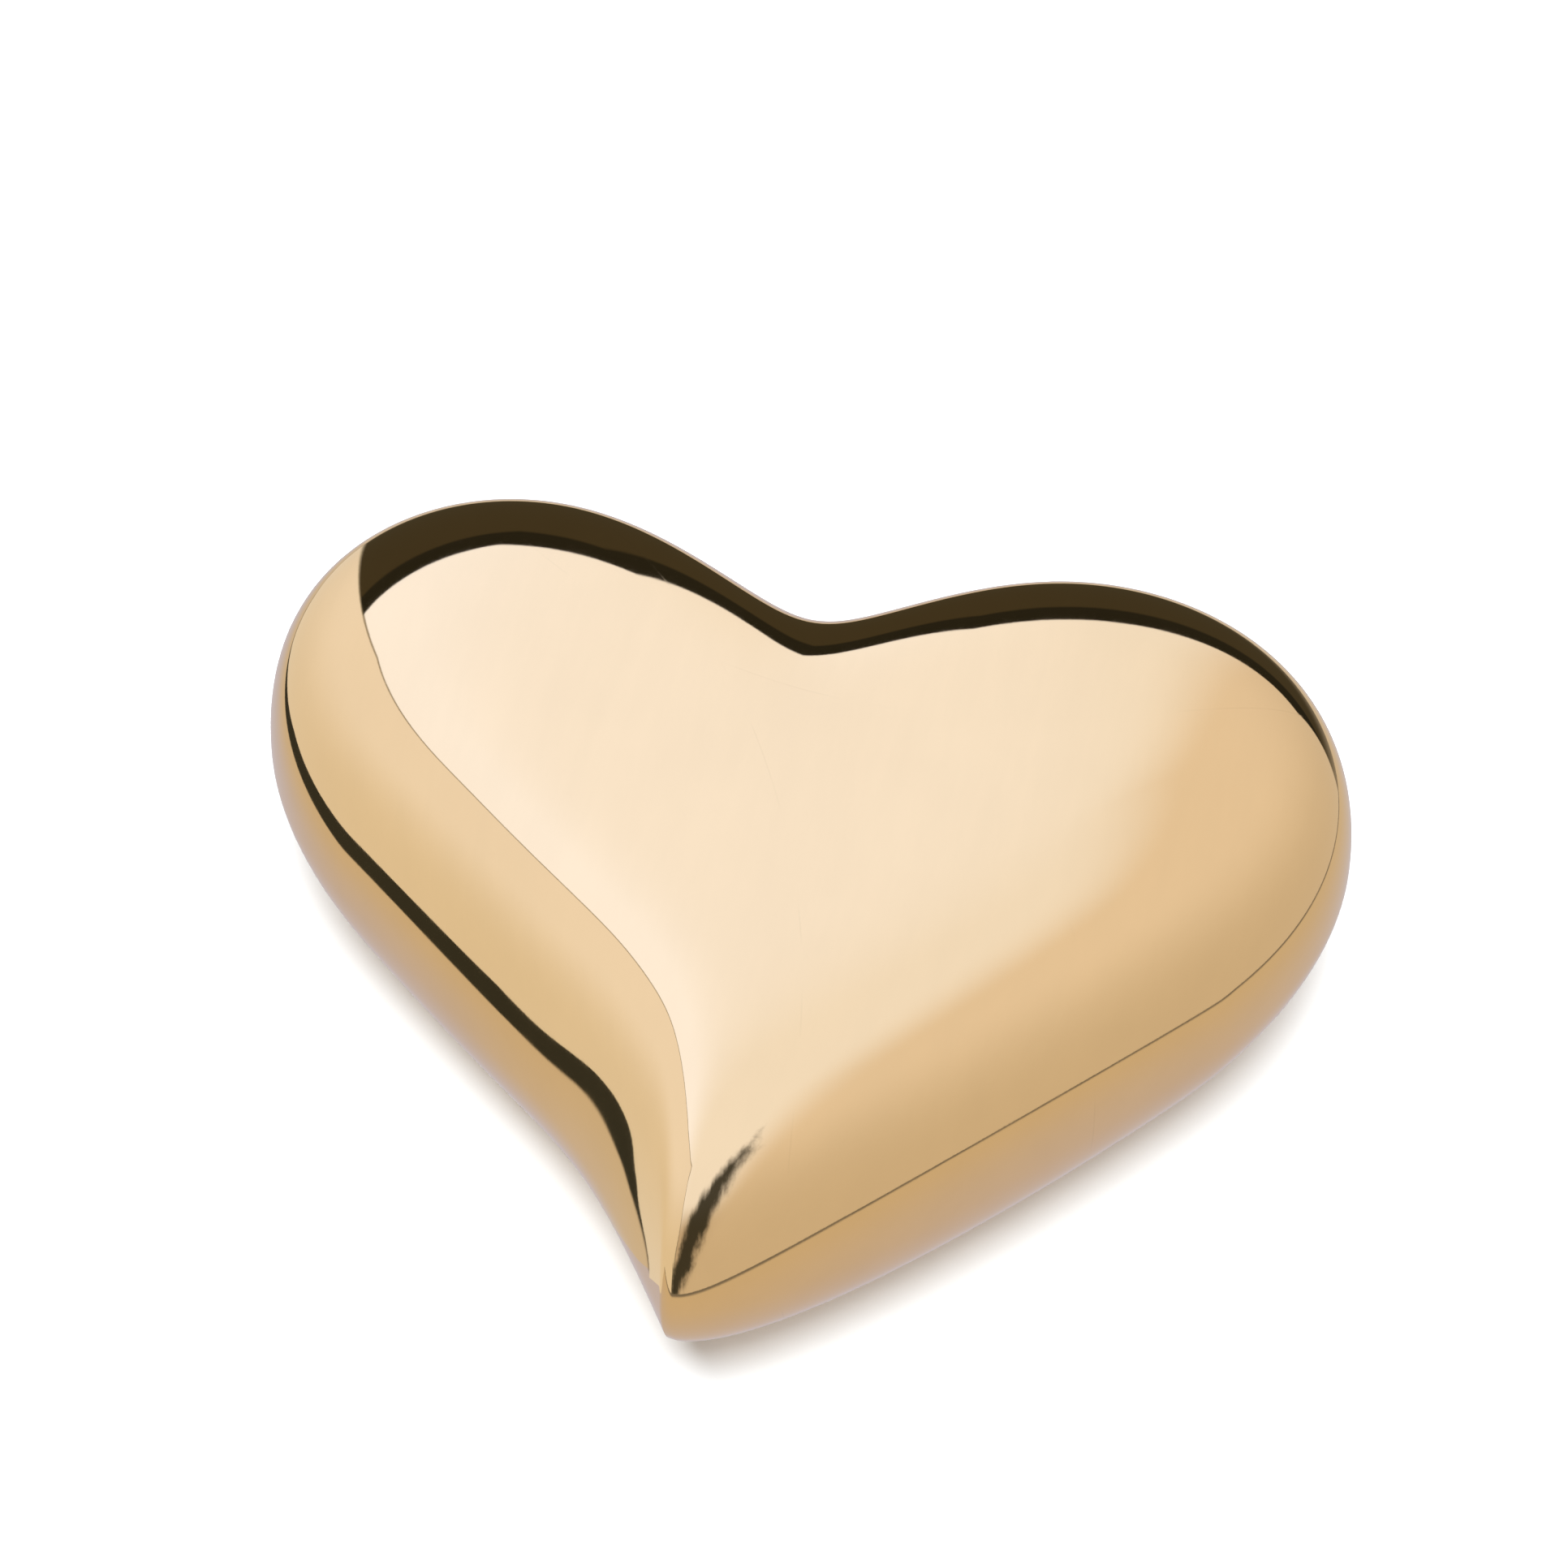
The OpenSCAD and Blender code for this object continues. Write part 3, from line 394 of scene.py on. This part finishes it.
# Name, colour, roughness, its spread, tint, grain per metre, stretch of the grain, bump, CAD nodes
METALS = [
    ("satin_pale_brass", (0.83, 0.66, 0.38), 0.26, 0.06, 0.07, 1400.0, ALONG_Y, 0.25,
     "base_plate", "comb_base"),
    ("drawn_pale_brass", (0.83, 0.66, 0.38), 0.2, 0.05, 0.06, 1600.0, ALONG_Z, 0.2,
     "key_cup", "barrel_drum", "cylinder_caps"),
    ("turned_brass", (0.80, 0.58, 0.29), 0.17, 0.05, 0.07, 2400.0, ALONG_Z, 0.15,
     "standoffs", "arbor_bush", "crown_wheel"),
    ("cut_brass", (0.79, 0.57, 0.28), 0.2, 0.06, 0.08, 2600.0, ALONG_X, 0.2,
     "crown_pinion", "great_wheel", "governor_pinion", "worm_wheel"),
    ("polished_key_brass", (0.84, 0.62, 0.33), 0.1, 0.04, 0.05, 900.0, NO_WAY, 0.1, "winding_key"),
    ("fine_turned_cylinder", (0.85, 0.65, 0.36), 0.22, 0.05, 0.05, 3200.0, ROUND_X, 0.25,
     "music_cylinder"),
    ("rolled_fan_brass", (0.85, 0.68, 0.40), 0.24, 0.05, 0.06, 1500.0, ALONG_Z, 0.15, "air_fan"),
    ("turned_steel", (0.56, 0.57, 0.58), 0.18, 0.05, 0.06, 2600.0, NO_WAY, 0.1,
     "winding_arbor", "cylinder_arbor", "governor_arbor", "worm", "cylinder_pins"),
    ("brushed_plate_steel", (0.62, 0.62, 0.61), 0.24, 0.07, 0.06, 2200.0, ALONG_Y, 0.2,
     "barrel_bridge", "cylinder_bracket", "governor_frame"),
    ("ground_comb_steel", (0.50, 0.51, 0.53), 0.2, 0.06, 0.07, 2800.0, ALONG_X, 0.3, "comb"),
    ("blued_spring_steel", (0.20, 0.22, 0.27), 0.24, 0.06, 0.2, 700.0, ALONG_Z, 0.1,
     "mainspring", "clutch_spring"),
    ("screw_steel", (0.54, 0.54, 0.55), 0.22, 0.07, 0.09, 3000.0, NO_WAY, 0.2,
     "closing_screws", "mounting_screws", "bridge_screws", "bracket_screws", "comb_base_screws",
     "comb_screws", "governor_screws"),
    ("cast_zinc", (0.46, 0.47, 0.48), 0.45, 0.1, 0.12, 1800.0, NO_WAY, 0.9, "bedplate"),
    ("dull_lead", (0.22, 0.225, 0.235), 0.55, 0.1, 0.18, 1500.0, NO_WAY, 0.6, "tuning_weights"),
]

case_brass = polished_case_brass()
shell.data.materials.append(case_brass)
dress(case_brass, "case_shell", "closure_ring")
for name, colour, rough, spread, tint, grain, stretch, bump, *nodes in METALS:
    dress(metal(name, colour, rough, spread, tint, grain, stretch, bump), *nodes)
dress(rubber("foot_rubber", (0.022, 0.021, 0.02)), "feet")


# ---------------------------------------------------------------- studio around the heart
def radiance(r, g, b):
    """Light that the case brass reflects as this screen colour, 0 to 255."""
    def linear(v):
        v /= 255
        return v / 12.92 if v < 0.04045 else ((v + 0.055) / 1.055) ** 2.4
    return tuple(linear(v) / k for v, k in zip((r, g, b), CASE_BRASS))


OVERHEAD = radiance(255, 235, 210)
OVERHEAD_SIDE = radiance(243, 218, 183)
BELOW = radiance(190, 156, 112)
LEFT_CARD = radiance(238, 208, 167)
LEFT_LOW = radiance(222, 188, 138)
RIGHT_CARD = radiance(229, 194, 148)
RIGHT_LOW = radiance(204, 169, 121)
BACK_BROWN = radiance(64, 50, 27)
BACK_BLACK = radiance(38, 31, 17)
SEAM = radiance(140, 118, 84)
# dark light: the world's front wedge, and the painted dark gap on the glowing table sheet
GAP = radiance(52, 44, 27)
# painted reflection of the table top on a glowing sheet that only mirrors see: far part, near part and
# a dark line
TABLE_REFLECTION_FAR = radiance(202, 164, 112)
TABLE_REFLECTION_NEAR = radiance(192, 162, 132)
PAINTED_LINE_REFLECTION = radiance(120, 100, 72)

# Directions are [azimuth, elevation] in degrees: azimuth 0 is behind the heart, 90 is its right side
RIGHT_SIDE = (88, 0)                # towards which the overhead light turns warmer
RIGHT_CORNERS = [(14, -60), (14, 30), (14, 50), (40, 63), (80, 60), (112, 46), (138, 14), (168, -30),
                 (176, -60)]
LEFT_BACK = (-129, -20.5)           # the planes that bound the left card face these ways
LEFT_SIDES = [(-112, -39), (-94, 0)]
CREST_LEFT = [(-50, 19.3), (-20, 24.6)]     # upper edge of the opening behind, left to right
CREST_MIDDLE = [(-20, 24.6), (-9, 31.5)]
CREST_RIGHT = [(-9, 31.5), (28, -9.5)]
BACK_END = [(28, -9.5), (32, -30)]
WEDGE_CORNERS = [(134, 24), (152, 4), (165, -13), (182, -40), (188, -60), (163, -41), (144, -17),
                 (137, 5)]
FRAY = 11.0                         # how far the wedge's edge frays, degrees


def direction(azimuth, elevation):
    a, e = radians(azimuth), radians(elevation)
    return Vector((sin(a) * cos(e), cos(a) * cos(e), sin(e)))


def studio():
    """Light from all round, for mirrors only: a bright overhead, two warm cards and dark gaps."""
    world = bpy.data.worlds.new("studio")
    bpy.context.scene.world = world
    world.use_nodes = True
    world.cycles_visibility.diffuse = False
    t = Nodes(world.node_tree)
    look = t.add("ShaderNodeTexCoord").outputs["Generated"]
    up = t.axes(look)[2]

    def side(normal):
        """Degrees by which a direction is on the normal's side of a plane through the heart."""
        dot = t.measure("DOT_PRODUCT", look, tuple(normal))
        return t.math("DEGREES", t.math("ARCSINE", dot))

    def within(*angles):
        inside = angles[0]
        for angle in angles[1:]:
            inside = t.math("MINIMUM", inside, angle)
        return inside

    def card(corners):
        """Angle inside a straight-edged card, given its corners."""
        at = [direction(*c) for c in corners]
        middle = sum(at, Vector()).normalized()
        edges = [a.cross(b).normalized() for a, b in zip(at, at[1:] + at[:1])]
        return within(*[side(n if n.dot(middle) > 0 else -n) for n in edges])

    def below(a, b):
        """Angle under the straight edge from a to b, which runs to the right as seen from the heart."""
        return side(direction(*a).cross(direction(*b)).normalized())

    rise = side(direction(0, 90))
    overhead = t.mix(t.step(side(direction(*RIGHT_SIDE)), -25, 12), OVERHEAD, OVERHEAD_SIDE)
    colour = t.mix(t.step(rise, -4, -22), overhead, BELOW)
    # warm card on the right, darker towards the floor, with a soft upper edge
    warm = t.mix(t.step(up, -0.6, 0.5), RIGHT_LOW, RIGHT_CARD)
    colour = t.mix(t.step(card(RIGHT_CORNERS), -8, 7), colour, warm)
    # warm card on the left, with a thin dark seam round it; it ends at the opening behind
    slant = side(direction(*LEFT_BACK))
    left = within(slant, *[side(direction(*s)) for s in LEFT_SIDES])
    warm = t.mix(t.step(up, -0.6, 0.3), LEFT_LOW, LEFT_CARD)
    colour = t.mix(t.step(left, -0.25, 0.25), colour, warm)
    colour = t.mix(t.step(t.math("ABSOLUTE", left), 0.75, 0.1, 0.0, 0.9), colour, SEAM)
    # dark opening behind, blackest along its upper edges and fading into the table below
    crest = within(t.math("MAXIMUM", below(*CREST_LEFT), below(*CREST_MIDDLE)), below(*CREST_RIGHT))
    back = within(crest, t.math("MULTIPLY", slant, -1.0), below(*BACK_END))
    dark = t.mix(t.step(crest, 6, 7.5), BACK_BLACK, BACK_BROWN)
    shade = t.math("MULTIPLY", t.step(back, -0.35, 0.35), t.step(rise, -46, -22))
    colour = t.mix(shade, colour, dark)
    # soft dark wedge in front, frayed along its length
    fray = t.noise(scale=11.0, detail=5.0, rough=0.7, stretch=(1, 1, 0.22), where="Generated")
    fray = t.math("MULTIPLY", t.math("SUBTRACT", fray, 0.5), FRAY)
    wedge = t.math("ADD", card(WEDGE_CORNERS), fray)
    colour = t.mix(t.step(wedge, -2.0, 4.0, 0.0, 0.97), colour, GAP)
    background = t.add("ShaderNodeBackground")
    t.plug(background.inputs[0], colour)
    t.plug(t.add("ShaderNodeOutputWorld").inputs[0], background.outputs[0])


studio()

# The table top as the brass mirrors it, a painted reflection on a glowing sheet: a leaf between two
# arcs, [centre x, centre y, radius] in metres
LEFT_ARC = (0.011, 0.069, 0.1130)
RIGHT_ARC = (-0.0104, 0.0308, 0.1050)
GAP_W = 0.0094              # widest part of the dark gap outside the left arc
GAP_THIN = 0.15             # its least width, as a share of the widest
GAP_TIP = -0.010            # x at which the gap closes near the tip
GAP_RUN = 0.044             # over how much x it opens
GAP_BACK = (0.025, 0.060)   # y from which it narrows again at the back, and where it is thinnest
GAP_EDGE = (0.0003, -0.0003)
TIP_TURN = 252              # heading in degrees past which only the right arc bounds the leaf
TIP_EDGE = (-0.002, -0.0002)
LINE_W = 0.0012             # thin line inside the right arc
DENT = 0.0030               # how far the left arc is pushed in near the tip
DENT_IN = (-0.052, -0.034)  # x between which the dent begins
DENT_OUT = (-0.030, -0.012)     # and ends
NEAR_W = 0.016              # over which the table's colour changes, from its edges inwards
RIM_POINTS = 720
GLOW_Z = 0.00005            # just above the floor


def share_of(value, low, high):
    return min(1.0, max(0.0, (value - low) / (high - low)))


def ease(x, low, high):
    k = share_of(x, low, high)
    return k * k * (3 - 2 * k)


def gap_width(x, y):
    opened = share_of(x, GAP_TIP, GAP_TIP - GAP_RUN) ** 2
    closed = share_of(y, *GAP_BACK[::-1])
    return GAP_W * opened * (GAP_THIN + (1 - GAP_THIN) * closed)


def reach(arc, way):
    """How far the arc is from the origin in the direction way."""
    centre = Vector(arc[:2])
    along = way.dot(centre)
    return along + sqrt(along * along - centre.length_squared + arc[2] ** 2)


def glow_rim():
    """Outer edge of the glowing leaf of painted table reflection: the right arc, or the painted dark
    gap's edge where that is nearer.
    """
    rim = []
    for i in range(RIM_POINTS):
        turn = 360 * i / RIM_POINTS
        way = heading(turn)
        far = reach(RIGHT_ARC, way)
        if turn < TIP_TURN:
            near = reach(LEFT_ARC, way)
            x = way.x * near
            near -= DENT * ease(x, *DENT_IN) * (1 - ease(x, *DENT_OUT))
            far = min(far, near + gap_width(way.x * near, way.y * near))
        rim.append(way * far)
    return rim


def glow_paint(t):
    """The painted reflection of the table: its colour, with a painted dark line inside the right arc
    and a painted dark gap outside the left one.
    """
    where = t.add("ShaderNodeNewGeometry").outputs["Position"]

    def inside(arc):
        return t.math("SUBTRACT", arc[2], t.measure("DISTANCE", where, (arc[0], arc[1], GLOW_Z)))

    x = t.axes(where)[0]
    dent = t.math("MULTIPLY", t.step(x, *DENT_IN), t.step(x, *DENT_OUT[::-1]))
    left = t.math("SUBTRACT", inside(LEFT_ARC), t.math("MULTIPLY", dent, DENT))
    right = inside(RIGHT_ARC)
    # right of the tip the left arc doesn't count
    tip = heading(TIP_TURN)
    past_tip = t.step(t.measure("DOT_PRODUCT", where, (-tip.y, tip.x, 0)), *TIP_EDGE)
    depth = t.math("MINIMUM", t.math("ADD", left, past_tip), t.math("MULTIPLY", right, 0.5))
    # painted reflection: the table's colour changes from the leaf's edges inwards, and a painted dark
    # line runs inside the right arc
    colour = t.mix(t.step(depth, 0.0, NEAR_W), TABLE_REFLECTION_FAR, TABLE_REFLECTION_NEAR)
    colour = t.mix(t.step(right, 1.5 * LINE_W, 0.5 * LINE_W), colour, PAINTED_LINE_REFLECTION)
    # painted dark gap in the reflection, outside the left arc
    gap = t.math("SUBTRACT", t.step(left, *GAP_EDGE), past_tip, clamp=True)
    return t.mix(gap, colour, GAP)


def painted_table_reflection():
    """Only mirrors see this glowing sheet, which is no lamp: a painted reflection of the lit table,
    with a painted dark gap on its left and a painted line on its right.
    """
    rim = glow_rim()
    piece = mesh_object("painted_table_reflection", [(0, 0, GLOW_Z)] + [(p.x, p.y, GLOW_Z) for p in rim],
                        [(0, 1 + i, 1 + (i + 1) % len(rim)) for i in range(len(rim))], smooth=False)
    # an emission shader, though the sheet is no lamp: it glows with the painted table reflection
    material, t, shader = new_material("painted_table_reflection", "ShaderNodeEmission")
    t.plug(shader.inputs[0], glow_paint(t))
    piece.data.materials.append(material)
    piece.visible_camera = False
    piece.visible_diffuse = False
    piece.visible_shadow = False
    piece.visible_transmission = False


def floor(half=3.0, white=0.9):
    """Pale paper; mirrors see the painted table reflection in its place."""
    corners = [(-half, -half, 0), (half, -half, 0), (half, half, 0), (-half, half, 0)]
    piece = mesh_object("studio_floor", corners, [(0, 1, 2, 3)], smooth=False)
    material, _, shader = new_material("pale_paper", "ShaderNodeBsdfDiffuse")
    shader.inputs[0].default_value = (white, white, white, 1)
    piece.data.materials.append(material)
    piece.visible_glossy = False


def soft_light(name, place, size, power):
    """A wide soft light over the paper; mirrors see the studio in its place."""
    data = bpy.data.lights.new(name, "AREA")
    data.shape = "DISK"
    data.size = size
    data.energy = power
    data.color = (0.93, 0.97, 1.0)
    lamp = bpy.data.objects.new(name, data)
    bpy.context.scene.collection.objects.link(lamp)
    lamp.location = place
    lamp.rotation_euler = (-lamp.location).to_track_quat("-Z", "Y").to_euler()
    lamp.visible_glossy = False


painted_table_reflection()
floor()
soft_light("top_light", (-0.02, -0.05, 0.9), size=1.1, power=24.0)
soft_light("front_light", (0.3, -0.7, 0.6), size=1.0, power=5.0)


# ---------------------------------------------------------------- camera
def camera(azimuth, elevation, roll, target, distance, lens, sensor=36.0):
    """Angles in degrees; azimuth 0 is in front of the tip and grows to the right."""
    azimuth, elevation, roll = radians(azimuth), radians(elevation), radians(roll)
    back = Vector((sin(azimuth) * cos(elevation), -cos(azimuth) * cos(elevation), sin(elevation)))
    right = (-back).cross(Vector((0, 0, 1))).normalized()
    up = right.cross(-back)
    tilted_right = right * cos(roll) + up * sin(roll)
    tilted_up = up * cos(roll) - right * sin(roll)
    data = bpy.data.cameras.new("studio_camera")
    data.sensor_width = sensor
    data.lens = lens
    data.clip_end = 10.0
    cam = bpy.data.objects.new("studio_camera", data)
    bpy.context.scene.collection.objects.link(cam)
    turn = Matrix((tilted_right, tilted_up, back)).transposed().to_4x4()
    cam.matrix_world = Matrix.Translation(Vector(target) + distance * back) @ turn
    bpy.context.scene.camera = cam


camera(azimuth=10.92, elevation=48.56, roll=0.81, target=(-0.00288, 0.02678, 0.016),
       distance=0.6459, lens=124.4)
bpy.context.scene.view_settings.view_transform = "Standard"
